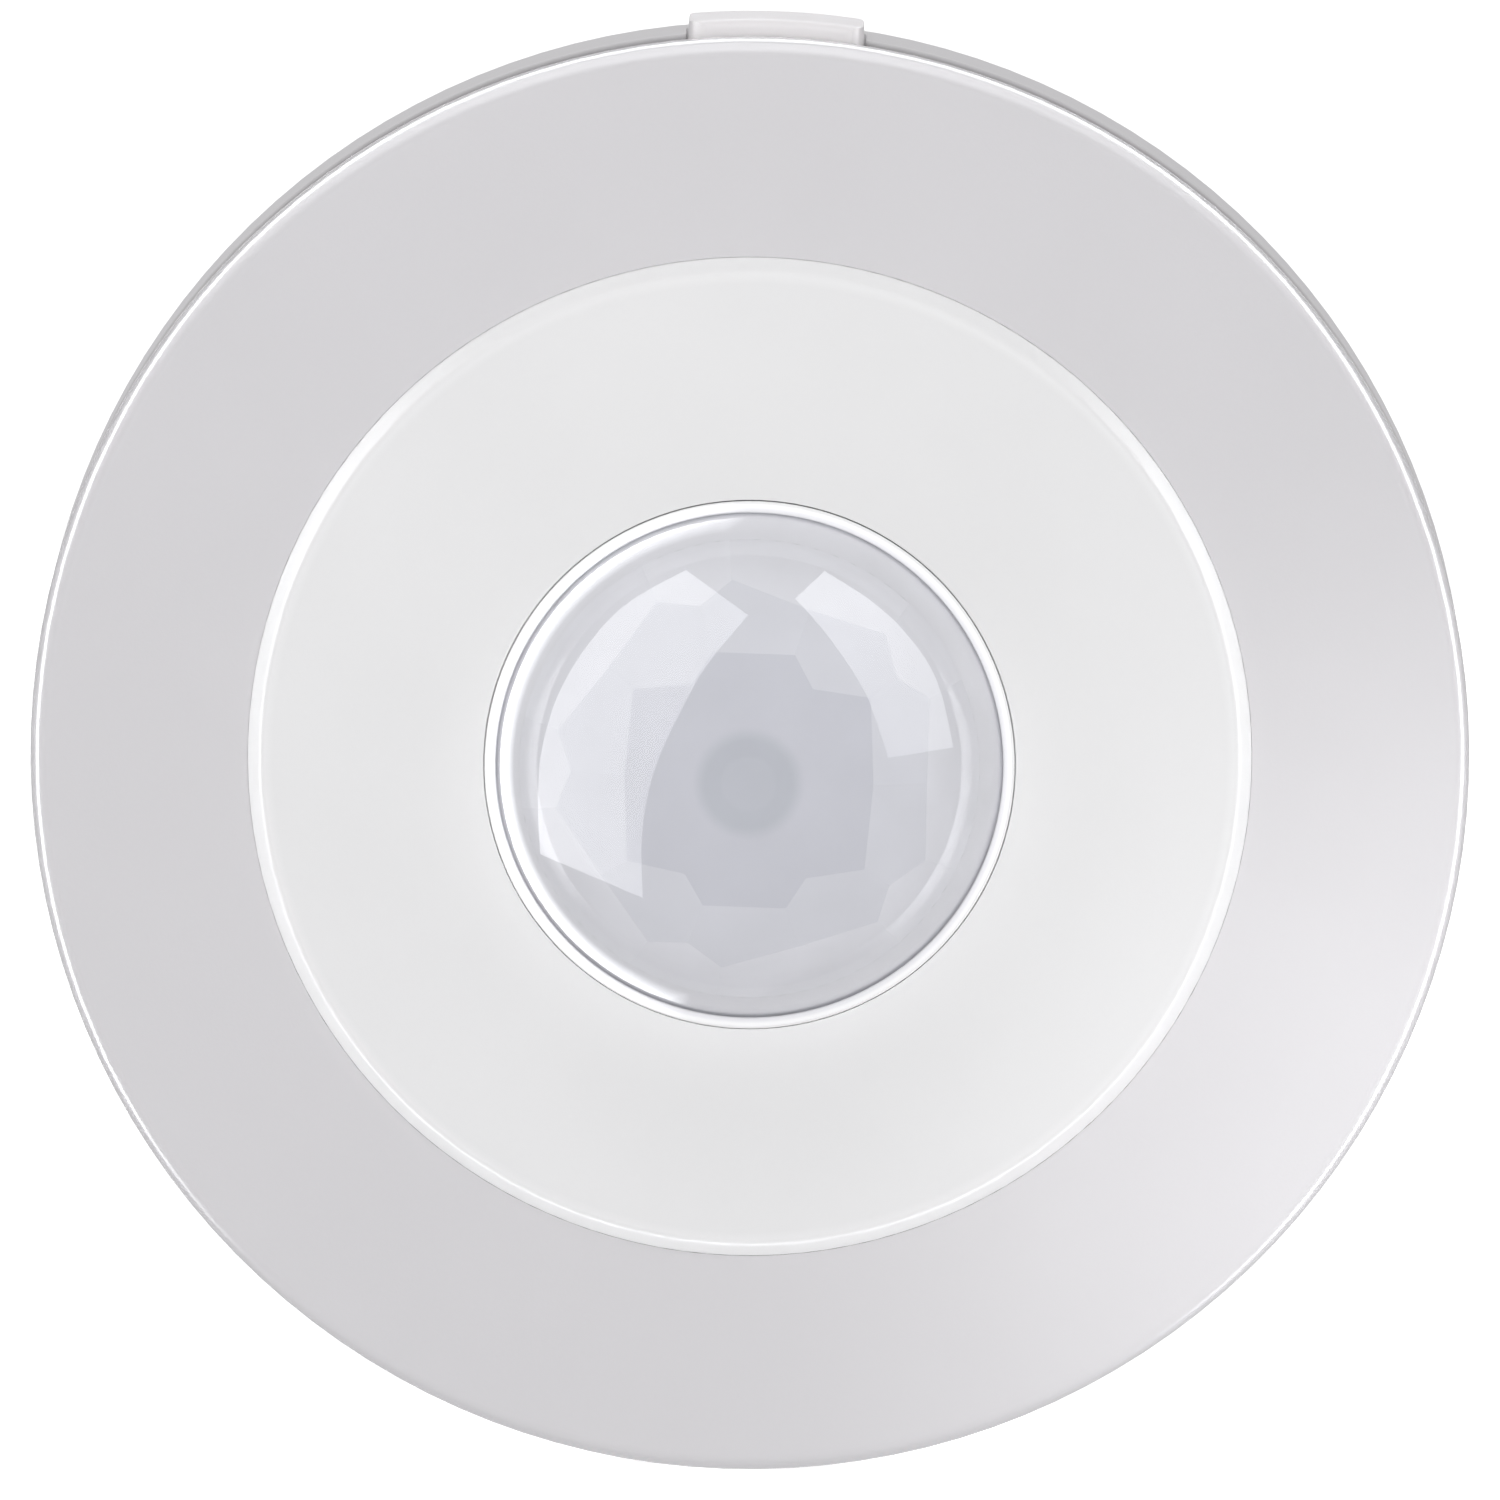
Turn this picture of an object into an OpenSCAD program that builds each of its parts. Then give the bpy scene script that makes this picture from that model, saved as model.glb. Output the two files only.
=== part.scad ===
// Round motion detector: a screw-on base, a twist-on detector head with a faceted
// infrared dome, its board and cells, and a sprung release tab on the edge.
// Everything is drawn with Z as the optical axis, and place() stands it up, so that
// the wall face lies in the XZ plane and the dome looks along -Y.

/* [Body] */
// Outer diameter of the base and of the front cover
body_d = 110; // [109:0.5:111]
// Height of the flat front ring above the wall
face_z = 17; // [16.9:0.1:17.6]
// Depth of the mounting base
base_depth = 9.5; // [9.2:0.1:10]
// Radius of the rolled front rim
rim_round = 1.3; // [0.8:0.1:1.6]

/* [Raised centre] */
// Diameter of the raised centre at its foot
bezel_d = 76.7; // [76:0.1:77.4]
// Height of the flare from its foot to the lens
bezel_rise = 4.4; // [4:0.1:4.8]
// How late the flare turns up towards the lens
flare_power = 2.4; // [1.8:0.1:3]

/* [Lens] */
// Outer radius of the dome
dome_r = 20; // [19.9:0.05:20.1]
// Wall thickness of the dome
dome_wall = 0.9; // [0.6:0.1:1.2]

/* [Base fixing] */
// Circle through the four screw holes
screw_pcd = 60; // [54:1:66]
// Diameter of each screw hole
screw_hole_d = 4.5; // [4:0.1:5]

/* [Release tab] */
// Width of the tab
tab_w = 13.4; // [12.8:0.1:13.6]
// How far the tab stands out of the edge
tab_proud = 1.2; // [1.1:0.1:1.6]

/* [Twist lock] */
// Turn from locked to free, in degrees
twist_range = 16; // [15:1:18]

/* [Hidden] */

$fn = 96;

// Base: plate, ring wall and the lips that hold the head's lugs
body_r = body_d / 2;
plate_t = 2;
base_wall = 2;
base_in_r = body_r - base_wall;
base_round = 0.8;
lug_angles = [30, 150, 270];
lug_span = 12;
lip_r = base_in_r - 2.4;
lip_z = [5.2, 6.8];
pocket_depth = 0.8;
pocket_r = [9, body_r - 5];
pocket_span = 38;
land_r = 6;
sink_r = 3.7;
sink_z = 1.1;

// Head: back shell, from its back face up to the parting face
back_z = plate_t + 0.6;
floor_z = back_z + 1.6;
neck_r = body_r - 5;
neck_in_r = neck_r - 1.6;
flare_z = 11.6;
part_z = face_z - 2.5;
flare_r = body_r - 0.9;
lug_r = neck_r + 2.2;
lug_z = [3.2, 4.8];

// Front cover
cover_in_z = face_z - 2;
ledge_z = face_z - 1;
skirt_z = part_z - 0.6;
skirt_in_r = body_r - 0.7;
cover_hole_r = 36.2;
bezel_hole_r = bezel_d / 2 + 0.03;
screw_xy = 31.1;
cover_boss_r = 3;
shell_boss_r = 3.6;
boss_z = 6;

// Raised centre and lens seat
bezel_r = bezel_d / 2;
foot_r = bezel_r - 1.45;
foot_z = face_z + 1.1;
lens_bore_r = 20.3;
bezel_top_z = foot_z + bezel_rise;
seat_z = 18.6;
seat_r = 22.2;
bezel_boss_r = seat_r + 1.4;
bezel_boss_z = 15.4;
bezel_t = 1.7;
skirt_r = [34.4, 36];
skirt_bottom_z = cover_in_z + 0.05;
leg_angles = [62, 118, 242, 298];
leg_span = 8;
flare_steps = 20;

// Dome, clamp and trim ring (its bore radius is given at the foot and at the top)
trim_z = [bezel_top_z - 2.3, bezel_top_z + 0.45];
trim_in_r = [19.87, 19.34];
trim_out_r = lens_bore_r - 0.08;
dome_z = 17.34;
dome_cut_z = 17.4;
clamp_z = [15.6, dome_cut_z];

// Release tab, its guide bridge and its springs
tab_half = tab_w / 2;
tab_z = [4, 12.8];
tab_in_y = base_in_r + 0.3;
tab_out_r = body_r + tab_proud;
tab_front_in_y = tab_in_y + 0.7;
notch_gap = 0.2;
bridge_half = 5.8;
bridge_y = [neck_r + 0.4, neck_r + 1.3];
bridge_z = 9.2;
stem_half = 1.8;
stem_z = [6, 7.6];
head_half = 3.2;
head_y = [46.8, 47.4];
head_z = [6, 9.2];
ear_y = [51.2, 52];
ear_out = 8.2;
cheek_in = 6;
ear_z = [4.6, 9];
spring_x = 4.2;
spring_zc = 6.8;
spring_r = 1.2;
spring_wire = 0.14;
slot_margin = 2.6;
tooth_r = 47.8;
tooth_z = [8.1, 9.4];

// Circuit board and what stands on it
board_z = [10.5, 12.1];
board_half = 22.4;
board_r = 47.2;
board_screw_y = 41;
sensor_pin_r = 2.54;
sensor_pin_angles = [45, 135, 225];
led_xy = [9.5, -9.5];
led_pitch = 1.27;

// Switches reached from behind
tamper_xy = [12, -24];
learn_xy = [12, -36];
dip_xy = [-12, -24];
dip_half = [3.5, 3.6];
dip_groove_x = [-1.5, 1.5];
dip_travel = 1.9;
dip_nub = [0.9, 1.6];

// Cells, their bays and contacts
cell_d = 10.5;
cell_l = 44.5;
bay_x = 30;
bay_half = [5.5, 26];
bay_wall = 1.2;
bay_top_z = [14, 14.8];
cell_z = 8.65;
cell_tip_y = 24.6;
contact_t = 0.4;
contact_tab_z = [board_z[1], board_z[1] + 0.9];

module place() rotate([90, 0, 0]) children();

// Points along a circular arc in a section, from angle a to angle b
function arc(cx, cy, r, a, b, n = 6) =
    [for (i = [0:n]) let (t = a + (b - a) * i / n) [cx + r * cos(t), cy + r * sin(t)]];

// Box between two limits on each axis
module block(x, y, z)
    translate([x[0], y[0], z[0]])
        cube([x[1] - x[0], y[1] - y[0], z[1] - z[0]]);

// Rod on the Z axis
module rod(r, z)
    translate([0, 0, z[0]])
        cylinder(r = r, h = z[1] - z[0]);

// Ring on the Z axis
module ring(r, z)
    rotate_extrude()
        translate([r[0], z[0]])
            square([r[1] - r[0], z[1] - z[0]]);

// Part of a ring, centred on the angle mid
module sector(r, z, mid, span)
    rotate([0, 0, mid - span / 2])
        rotate_extrude(angle = span)
            translate([r[0], z[0]])
                square([r[1] - r[0], z[1] - z[0]]);

// Rectangle with true round corners, given by its half sizes
module round_rect(half, r) {
    square([2 * half[0], 2 * (half[1] - r)], center = true);
    square([2 * (half[0] - r), 2 * half[1]], center = true);
    for (sx = [-1, 1], sy = [-1, 1])
        translate([sx * (half[0] - r), sy * (half[1] - r)])
            circle(r = r);
}

// Wire coil on the Z axis, from radius r0 at z = 0 to r1 at z = l
function coil_point(r0, r1, l, turns, w, u, v) =
    let (r = r0 + (r1 - r0) * u + w * cos(v))
    [r * cos(360 * turns * u), r * sin(360 * turns * u), w + (l - 2 * w) * u + w * sin(v)];

module coil(r0, r1, l, turns, w, per_turn = 14, sides = 6) {
    steps = round(turns * per_turn);
    points = [for (i = [0:steps], j = [0:sides - 1])
        coil_point(r0, r1, l, turns, w, i / steps, 360 * j / sides)];
    skin = [for (i = [0:steps - 1], j = [0:sides - 1])
        let (k = (j + 1) % sides)
        [i * sides + j, (i + 1) * sides + j, (i + 1) * sides + k, i * sides + k]];
    start_cap = [[for (j = [0:sides - 1]) j]];
    end_cap = [[for (j = [0:sides - 1]) steps * sides + sides - 1 - j]];
    polyhedron(points = points, faces = concat(skin, start_cap, end_cap), convexity = 8);
}

// Cross recess of a screw head that faces -Z
module cross_recess(r, z) {
    block([-r, r], [-0.3, 0.3], z);
    block([-0.3, 0.3], [-r, r], z);
}

module at_case_screws()
    for (sx = [-1, 1], sy = [-1, 1])
        translate([sx * screw_xy, sy * screw_xy, 0])
            children();

module at_board_screws()
    for (sy = [-1, 1])
        translate([0, sy * board_screw_y, 0])
            children();

// ---- Mounting base ----

module base_dish()
    rotate_extrude()
        polygon(concat(
            [[0, 0], [body_r - 0.3, 0], [body_r, 0.3]],
            arc(body_r - base_round, base_depth - base_round, base_round, 0, 90),
            [[base_in_r, base_depth], [base_in_r, plate_t], [0, plate_t]]));

module base_bridge() {
    block([-bridge_half, bridge_half], bridge_y, [plate_t - 0.2, bridge_z]);
    for (sx = [-1, 1])
        translate([sx * spring_x, bridge_y[1] - 0.2, spring_zc])
            rotate([-90, 0, 0])
                cylinder(r = 0.85, h = 0.7, $fn = 32);
}

module base_pockets()
    for (i = [0:7])
        difference() {
            sector(pocket_r, [-1, pocket_depth], 22.5 + 45 * i, pocket_span);
            for (k = [0:3])
                rotate([0, 0, 45 + 90 * k])
                    translate([screw_pcd / 2, 0, 0])
                        rod(land_r, [-2, plate_t]);
        }

module base_screw_holes()
    for (k = [0:3])
        rotate([0, 0, 45 + 90 * k])
            translate([screw_pcd / 2, 0, 0]) {
                rod(screw_hole_d / 2, [-1, plate_t + 1]);
                translate([0, 0, sink_z])
                    cylinder(r1 = screw_hole_d / 2, r2 = sink_r, h = plate_t - sink_z);
                rod(sink_r, [plate_t, plate_t + 1]);
            }

module mounting_base()
    color("#e6e4e6")
        place()
            difference() {
                union() {
                    base_dish();
                    for (a = lug_angles)
                        sector([lip_r, base_in_r + 0.3], lip_z, a, lug_span);
                    base_bridge();
                }
                base_pockets();
                base_screw_holes();
                block([-tab_half - notch_gap, tab_half + notch_gap],
                      [base_in_r - 0.6, body_r + 2], [tab_z[0] - 0.4, base_depth + 1]);
                block([-stem_half - notch_gap, stem_half + notch_gap],
                      [bridge_y[0] - 1, bridge_y[1] + 0.4], [stem_z[0] - notch_gap, base_depth + 1]);
            }

// ---- Release tab ----

// Section of the pad through the optical axis, with its front edge rounded
module pad_section()
    polygon(concat(
        [[tab_in_y - 2, tab_z[0]], [tab_out_r - 0.5, tab_z[0]], [tab_out_r, tab_z[0] + 0.5]],
        arc(tab_out_r - 0.7, tab_z[1] - 0.7, 0.7, 0, 90),
        [[tab_in_y - 2, tab_z[1]]]));

module tab_pad()
    intersection() {
        rotate_extrude()
            pad_section();
        // corners seen from the front
        translate([0, tab_out_r - 5, 0])
            linear_extrude(height = tab_z[1] + 2)
                round_rect([tab_half, 5], 0.7);
        // corners seen from the edge
        translate([0, tab_in_y, (tab_z[0] + tab_z[1]) / 2])
            rotate([-90, 0, 0])
                linear_extrude(height = 10)
                    round_rect([tab_half, (tab_z[1] - tab_z[0]) / 2], 1.5);
    }

module release_tab()
    color("#f3f1f2")
        place() {
            difference() {
                tab_pad();
                block([-tab_w, tab_w], [tab_in_y - 1, tab_front_in_y], [base_depth, tab_z[1] + 1]);
            }
            for (sx = [-1, 1])
                scale([sx, 1, 1]) {
                    block([cheek_in, tab_half], [ear_y[0], tab_in_y + 0.5], ear_z);
                    block([cheek_in, ear_out], ear_y, ear_z);
                }
            block([-stem_half, stem_half], [head_y[0], tab_in_y + 0.5], stem_z);
            block([-head_half, head_half], head_y, head_z);
        }

module latch_springs()
    color("silver")
        place()
            for (sx = [-1, 1])
                translate([sx * spring_x, bridge_y[1], spring_zc])
                    rotate([-90, 0, 0])
                        coil(spring_r, spring_r, tab_in_y - bridge_y[1], 2.5, spring_wire);

// ---- Rear shell ----

module shell_skin()
    rotate_extrude()
        polygon([
            [0, back_z], [neck_r - 0.4, back_z], [neck_r, back_z + 0.4], [neck_r, flare_z],
            [flare_r, part_z - 0.4], [flare_r, part_z], [flare_r - 1.9, part_z],
            [neck_in_r, flare_z + 0.6], [neck_in_r, floor_z], [0, floor_z]]);

module cell_bays()
    for (sx = [-1, 1])
        translate([sx * bay_x, 0, 0])
            block([-bay_half[0] - bay_wall, bay_half[0] + bay_wall],
                  [-bay_half[1] - bay_wall, bay_half[1] + bay_wall], [back_z, bay_top_z[1]]);

module cell_spaces()
    for (sx = [-1, 1]) {
        translate([sx * bay_x, 0, 0])
            block([-bay_half[0], bay_half[0]], [-bay_half[1], bay_half[1]], [back_z - 1, bay_top_z[0]]);
        for (sy = [-1, 1])
            scale([sx, sy, 1])
                block([bay_x - bay_half[0] - bay_wall - 0.5, bay_x - bay_half[0] + 0.5],
                      [bay_half[1] - 0.6, bay_half[1] + 0.1],
                      [contact_tab_z[0] - 0.1, contact_tab_z[1] + 0.3]);
    }

// Way in and turn for the stem of the release tab
module latch_slot() {
    entry = 90 - twist_range;
    sector([neck_in_r - 1, neck_r + 1], [stem_z[0] - 0.3, stem_z[1] + 0.3],
           90 - twist_range / 2, twist_range + 2 * slot_margin);
    sector([neck_in_r - 1, neck_r + 1], [back_z - 1, stem_z[1]], entry, 2 * slot_margin);
    sector([45.2, neck_r + 1], [back_z - 1, floor_z + 1], entry, 11);
}

module rear_shell()
    color("#dedcde")
        place()
            difference() {
                union() {
                    shell_skin();
                    cell_bays();
                    for (a = lug_angles)
                        sector([neck_r - 0.3, lug_r], lug_z, a, lug_span);
                    for (a = [84.4, 95.6])
                        sector([tooth_r, neck_in_r + 0.3], tooth_z, a, 2);
                    at_case_screws()
                        rod(shell_boss_r, [back_z, boss_z]);
                    at_board_screws()
                        rod(2.6, [back_z, board_z[0]]);
                }
                cell_spaces();
                latch_slot();
                at_case_screws() {
                    rod(2.9, [back_z - 1, 4.4]);
                    rod(1.6, [back_z, boss_z + 1]);
                }
                at_board_screws()
                    rod(0.95, [5, board_z[0] + 1]);
                translate([tamper_xy[0], tamper_xy[1], 0])
                    rod(2.45, [back_z - 1, floor_z + 1]);
                translate([learn_xy[0], learn_xy[1], 0])
                    rod(1.85, [back_z - 1, floor_z + 1]);
                translate([dip_xy[0], dip_xy[1], 0])
                    block([-4, 4], [-4.25, 4.25], [back_z - 1, floor_z + 1]);
            }

// ---- Front cover ----

module cover_skin()
    rotate_extrude()
        polygon(concat(
            [[cover_hole_r, cover_in_z], [cover_hole_r, ledge_z],
             [bezel_hole_r, ledge_z], [bezel_hole_r, face_z]],
            arc(body_r - rim_round, face_z - rim_round, rim_round, 90, 0, 10),
            arc(body_r - 0.3, skirt_z + 0.3, 0.3, 0, -90, 3),
            [[skirt_in_r, skirt_z], [skirt_in_r, part_z], [flare_r - 1.9, part_z],
             [flare_r - 2.9, cover_in_z]]));

module front_cover()
    color("#dddbdd")
        place()
            difference() {
                union() {
                    cover_skin();
                    at_case_screws()
                        rod(cover_boss_r, [boss_z, cover_in_z + 0.5]);
                }
                at_case_screws()
                    rod(1.3, [boss_z - 1, 12.6]);
            }

// ---- Raised centre ----

// Height of the flare at radius r
function flare(r) =
    foot_z + bezel_rise * pow(max(0, (foot_r - r) / (foot_r - lens_bore_r)), flare_power);

module bezel_skin()
    rotate_extrude()
        polygon(concat(
            [[skirt_r[1], skirt_bottom_z], [skirt_r[1], ledge_z], [bezel_r, ledge_z], [bezel_r, face_z],
             [bezel_r - 0.7, face_z + 0.75]],
            arc(foot_r + 0.1, foot_z - 0.75, 0.75, 55, 90, 4),
            [for (i = [0:flare_steps])
                let (r = foot_r + (lens_bore_r - foot_r) * i / flare_steps) [r, flare(r)]],
            [[lens_bore_r, seat_z], [seat_r, seat_z], [seat_r, bezel_boss_z], [bezel_boss_r, bezel_boss_z]],
            [for (i = [0:flare_steps / 2])
                let (r = bezel_boss_r + (skirt_r[0] - bezel_boss_r) * i / (flare_steps / 2))
                [r, flare(r) - bezel_t]],
            [[skirt_r[0], skirt_bottom_z]]));

// Snap leg with its hook under the front cover
module bezel_leg(a) {
    sector([skirt_r[0] + 0.2, skirt_r[1] - 0.2], [cover_in_z - 1.6, ledge_z - 0.2], a, leg_span);
    sector([skirt_r[1] - 0.6, skirt_r[1] + 0.8], [cover_in_z - 1.2, cover_in_z - 0.1], a, leg_span - 1);
}

module center_bezel()
    color("#f0eff0")
        place() {
            bezel_skin();
            for (a = leg_angles)
                bezel_leg(a);
        }

// Trim ring: its bore leans in with the dome, its outer edge leaves a fine shadow line
module lens_ring()
    color("#ffffff")
        place()
            rotate_extrude()
                polygon(concat(
                    [[trim_in_r[0], trim_z[0]], [lens_bore_r, trim_z[0]],
                     [lens_bore_r, bezel_top_z - 0.9], [trim_out_r, bezel_top_z - 0.8]],
                    arc(trim_out_r - 0.25, trim_z[1] - 0.25, 0.25, 0, 90, 6),
                    arc(trim_in_r[1] + 0.15, trim_z[1] - 0.15, 0.15, 90, 180, 4)));

module dome_lens()
    color("#c9ced8")
        place() {
            difference() {
                translate([0, 0, dome_z])
                    sphere(r = dome_r);
                translate([0, 0, dome_z])
                    sphere(r = dome_r - dome_wall);
                rod(dome_r + 5, [dome_z - dome_r - 1, dome_cut_z]);
            }
            ring([dome_r - dome_wall / 2, seat_r - 0.2], [dome_cut_z, seat_z]);
        }

module lens_clamp()
    color("#cfcdd0")
        place()
            difference() {
                ring([19.2, seat_r - 0.1], clamp_z);
                for (i = [0:2])
                    sector([21.4, seat_r + 1], [clamp_z[0] - 1, clamp_z[0] + 0.9], 30 + 120 * i, 12);
            }

// ---- Circuit board ----

module circuit_board()
    color("#2f6b3c")
        place()
            difference() {
                intersection() {
                    rod(board_r, board_z);
                    block([-board_half, board_half], [-board_r, board_r], board_z);
                }
                at_board_screws()
                    rod(1.1, [board_z[0] - 1, board_z[1] + 1]);
                at_sensor_pins()
                    rod(0.3, [board_z[0] - 1, board_z[1] + 1], $fn = 24);
                at_led_pins()
                    rod(0.3, [board_z[0] - 1, board_z[1] + 1], $fn = 24);
            }

module at_sensor_pins()
    for (a = sensor_pin_angles)
        rotate([0, 0, a])
            translate([sensor_pin_r, 0, 0])
                children();

module at_led_pins()
    for (s = [-1, 1])
        translate([led_xy[0] + s * led_pitch, led_xy[1], 0])
            children();

module sensor_spacer()
    color("#3a3a3c")
        place()
            difference() {
                rod(4.8, [board_z[1], board_z[1] + 1]);
                at_sensor_pins()
                    rod(0.3, [board_z[1] - 1, board_z[1] + 2], $fn = 24);
            }

module pyro_sensor()
    color("#c8c8ca")
        place() {
            difference() {
                union() {
                    rod(4.6, [13.1, 13.5]);
                    rod(4.05, [13.1, 17.3]);
                }
                block([-2.3, 2.3], [-1.7, 1.7], [16.9, 18]);
            }
            at_sensor_pins()
                rod(0.23, [board_z[0] - 0.8, 13.2], $fn = 24);
        }

module pyro_window()
    color("#2b2226")
        place()
            block([-2.3, 2.3], [-1.7, 1.7], [16.9, 17.35]);

module indicator_led()
    color("#d8e8d0")
        place() {
            translate([led_xy[0], led_xy[1], 0]) {
                rod(1.9, [board_z[1], 13.1], $fn = 48);
                rod(1.5, [13, 15.6], $fn = 48);
                translate([0, 0, 15.6])
                    sphere(r = 1.5, $fn = 48);
            }
            at_led_pins()
                rod(0.22, [board_z[0] - 0.8, board_z[1] + 0.2], $fn = 24);
        }

// Leads along both long sides of a chip that stands on the board
module chip_leads(count, pitch, reach)
    for (i = [0:count - 1], s = [-1, 1])
        translate([(i - (count - 1) / 2) * pitch, 0, 0])
            scale([1, s, 1])
                block([-0.18, 0.18], [reach - 1.2, reach], [board_z[1], board_z[1] + 0.25]);

module microcontroller()
    color("#26262a")
        place()
            translate([-8, -20, 0]) {
                block([-3.5, 3.5], [-3.5, 3.5], [board_z[1] + 0.1, board_z[1] + 1.4]);
                chip_leads(8, 0.8, 4.4);
                rotate([0, 0, 90])
                    chip_leads(8, 0.8, 4.4);
            }

module amplifier_chip()
    color("#26262a")
        place()
            translate([8, 20, 0]) {
                block([-4.35, 4.35], [-1.95, 1.95], [board_z[1] + 0.1, board_z[1] + 1.6]);
                chip_leads(7, 1.27, 3);
            }

module chip_resistors()
    color("#1f2023")
        place()
            for (i = [0:5], j = [0:1])
                translate([-6.25 + 2.5 * i, -29 - 2.4 * j, 0])
                    block([-0.8, 0.8], [-0.4, 0.4], [board_z[1], board_z[1] + 0.5]);

module chip_capacitors()
    color("#b08d62")
        place()
            for (i = [0:3], j = [0:1])
                translate([-16 + 2.5 * i, 20 + 2.4 * j, 0])
                    block([-0.8, 0.8], [-0.4, 0.4], [board_z[1], board_z[1] + 0.8]);

module electrolytic_capacitors()
    color("#31435f")
        place()
            for (x = [8, 15])
                translate([x, 12, 0]) {
                    rod(2.5, [5.1, 9.8], $fn = 48);
                    block([-2.7, 2.7], [-2.7, 2.7], [9.8, board_z[0]]);
                }

module radio_module()
    color("#2f5c72")
        place()
            block([-17.5, -2.5], [13.5, 26.5], [9.7, board_z[0]]);

module radio_shield()
    color("#c4c6c8")
        place()
            block([-16, -4], [15, 25], [7.5, 9.7]);

module antenna_coil()
    color("#b87333")
        place()
            translate([-7, 33, 13.4])
                rotate([0, 90, 0])
                    coil(1, 1, 14, 11, 0.22, 12);

// ---- Switches reached from behind ----

module tamper_switch()
    color("#2a2a2c")
        place()
            translate([tamper_xy[0], tamper_xy[1], 0]) {
                block([-3.1, 3.1], [-3.1, 3.1], [7.5, board_z[0]]);
                rod(1, [7, 7.8], $fn = 48);
            }

module tamper_plunger()
    color("#e9e7e2")
        place()
            translate([tamper_xy[0], tamper_xy[1], 0]) {
                rod(2.2, [plate_t + 0.15, 5.2], $fn = 64);
                rod(3, [4.5, 5.2], $fn = 64);
                rod(1, [5, 6], $fn = 48);
            }

module tamper_spring()
    color("silver")
        place()
            translate([tamper_xy[0], tamper_xy[1], 5.2])
                coil(1.9, 1.9, 2.3, 3.5, 0.13);

module learn_switch()
    color("#2a2a2c")
        place()
            translate([learn_xy[0], learn_xy[1], 0]) {
                block([-2.25, 2.25], [-2.25, 2.25], [7.4, board_z[0]]);
                rod(0.9, [7, 7.8], $fn = 48);
            }

module learn_button()
    color("#b9443a")
        place()
            translate([learn_xy[0], learn_xy[1], 0]) {
                rod(1.6, [3, 6.6], $fn = 64);
                rod(2.3, [4.5, 5.1], $fn = 64);
            }

module dip_switch()
    color("#a8322c")
        place()
            translate([dip_xy[0], dip_xy[1], 0])
                difference() {
                    block([-dip_half[0], dip_half[0]], [-dip_half[1], dip_half[1]], [7.1, board_z[0]]);
                    for (x = dip_groove_x)
                        translate([x, 0, 0])
                            block([-0.6, 0.6], [-(dip_nub[1] + dip_travel) / 2 - 0.15,
                                  (dip_nub[1] + dip_travel) / 2 + 0.15], [6, 8.3]);
                }

// Slider standing at the lower end of its groove
module dip_slider(x)
    color("#f2f2ee")
        place()
            translate([dip_xy[0] + x, dip_xy[1] - dip_travel / 2, 0])
                block([-dip_nub[0] / 2, dip_nub[0] / 2], [-dip_nub[1] / 2, dip_nub[1] / 2], [6.2, 8.15]);

module dip_slider_1() dip_slider(dip_groove_x[0]);

module dip_slider_2() dip_slider(dip_groove_x[1]);

// ---- Cells and contacts ----

// Cell lying along Y with its tip at the +Y end
module cell()
    translate([0, cell_tip_y, cell_z])
        rotate([90, 0, 0]) {
            cylinder(r = 1.9, h = 1.2, $fn = 48);
            translate([0, 0, 1])
                cylinder(r = cell_d / 2, h = cell_l - 1);
        }

module battery_left()
    color("#3d6e9a")
        place()
            translate([-bay_x, 0, 0])
                rotate([0, 0, 180])
                    cell();

module battery_right()
    color("#3d6e9a")
        place()
            translate([bay_x, 0, 0])
                cell();

// Contact plate at the +Y end of a bay, with its tab onto the board to the left
module contact_plate() {
    block([-4.5, 4.5], [bay_half[1] - contact_t, bay_half[1]], [4.6, 13.2]);
    block([board_half - bay_x - 2, -4], [bay_half[1] - contact_t, bay_half[1]], contact_tab_z);
}

// Places a contact at one bay end, sx giving the bay and sy the end
module at_bay(sx, sy)
    scale([sx, sy, 1])
        translate([bay_x, 0, 0])
            children();

module positive_contacts()
    color("#c9b37a")
        place()
            for (s = [-1, 1])
                at_bay(s, s) {
                    contact_plate();
                    translate([0, cell_tip_y, cell_z])
                        rotate([-90, 0, 0])
                            cylinder(r = 1.6, h = bay_half[1] - cell_tip_y, $fn = 48);
                }

module negative_contacts()
    color("#c4c6c8")
        place()
            for (s = [-1, 1])
                at_bay(s, -s)
                    contact_plate();

module contact_springs()
    color("#c4c6c8")
        place()
            for (s = [-1, 1])
                translate([s * bay_x, s * (contact_t - bay_half[1]), cell_z])
                    rotate([-90 * s, 0, 0])
                        coil(3.7, 2, bay_half[1] - contact_t + cell_tip_y - cell_l, 4, 0.3);

// ---- Fasteners ----

module case_screws()
    color("#9a9c9f")
        place()
            at_case_screws()
                difference() {
                    union() {
                        rod(2.5, [2.8, 4.4], $fn = 48);
                        rod(1.25, [4.2, 12], $fn = 48);
                    }
                    cross_recess(1.6, [2, 3.6]);
                }

module pcb_screws()
    color("#9a9c9f")
        place()
            at_board_screws()
                difference() {
                    union() {
                        rod(2.1, [board_z[1], board_z[1] + 1.4], $fn = 48);
                        rod(0.9, [5.5, board_z[1] + 0.2], $fn = 48);
                    }
                    cross_recess(1.3, [board_z[1] + 0.8, board_z[1] + 2]);
                }

mounting_base();
release_tab();
latch_springs();
rear_shell();
front_cover();
center_bezel();
lens_ring();
dome_lens();
lens_clamp();
circuit_board();
sensor_spacer();
pyro_sensor();
pyro_window();
indicator_led();
microcontroller();
amplifier_chip();
chip_resistors();
chip_capacitors();
electrolytic_capacitors();
radio_module();
radio_shield();
antenna_coil();
tamper_switch();
tamper_plunger();
tamper_spring();
learn_switch();
learn_button();
dip_switch();
dip_slider_1();
dip_slider_2();
battery_left();
battery_right();
positive_contacts();
negative_contacts();
contact_springs();
case_screws();
pcb_screws();
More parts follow.
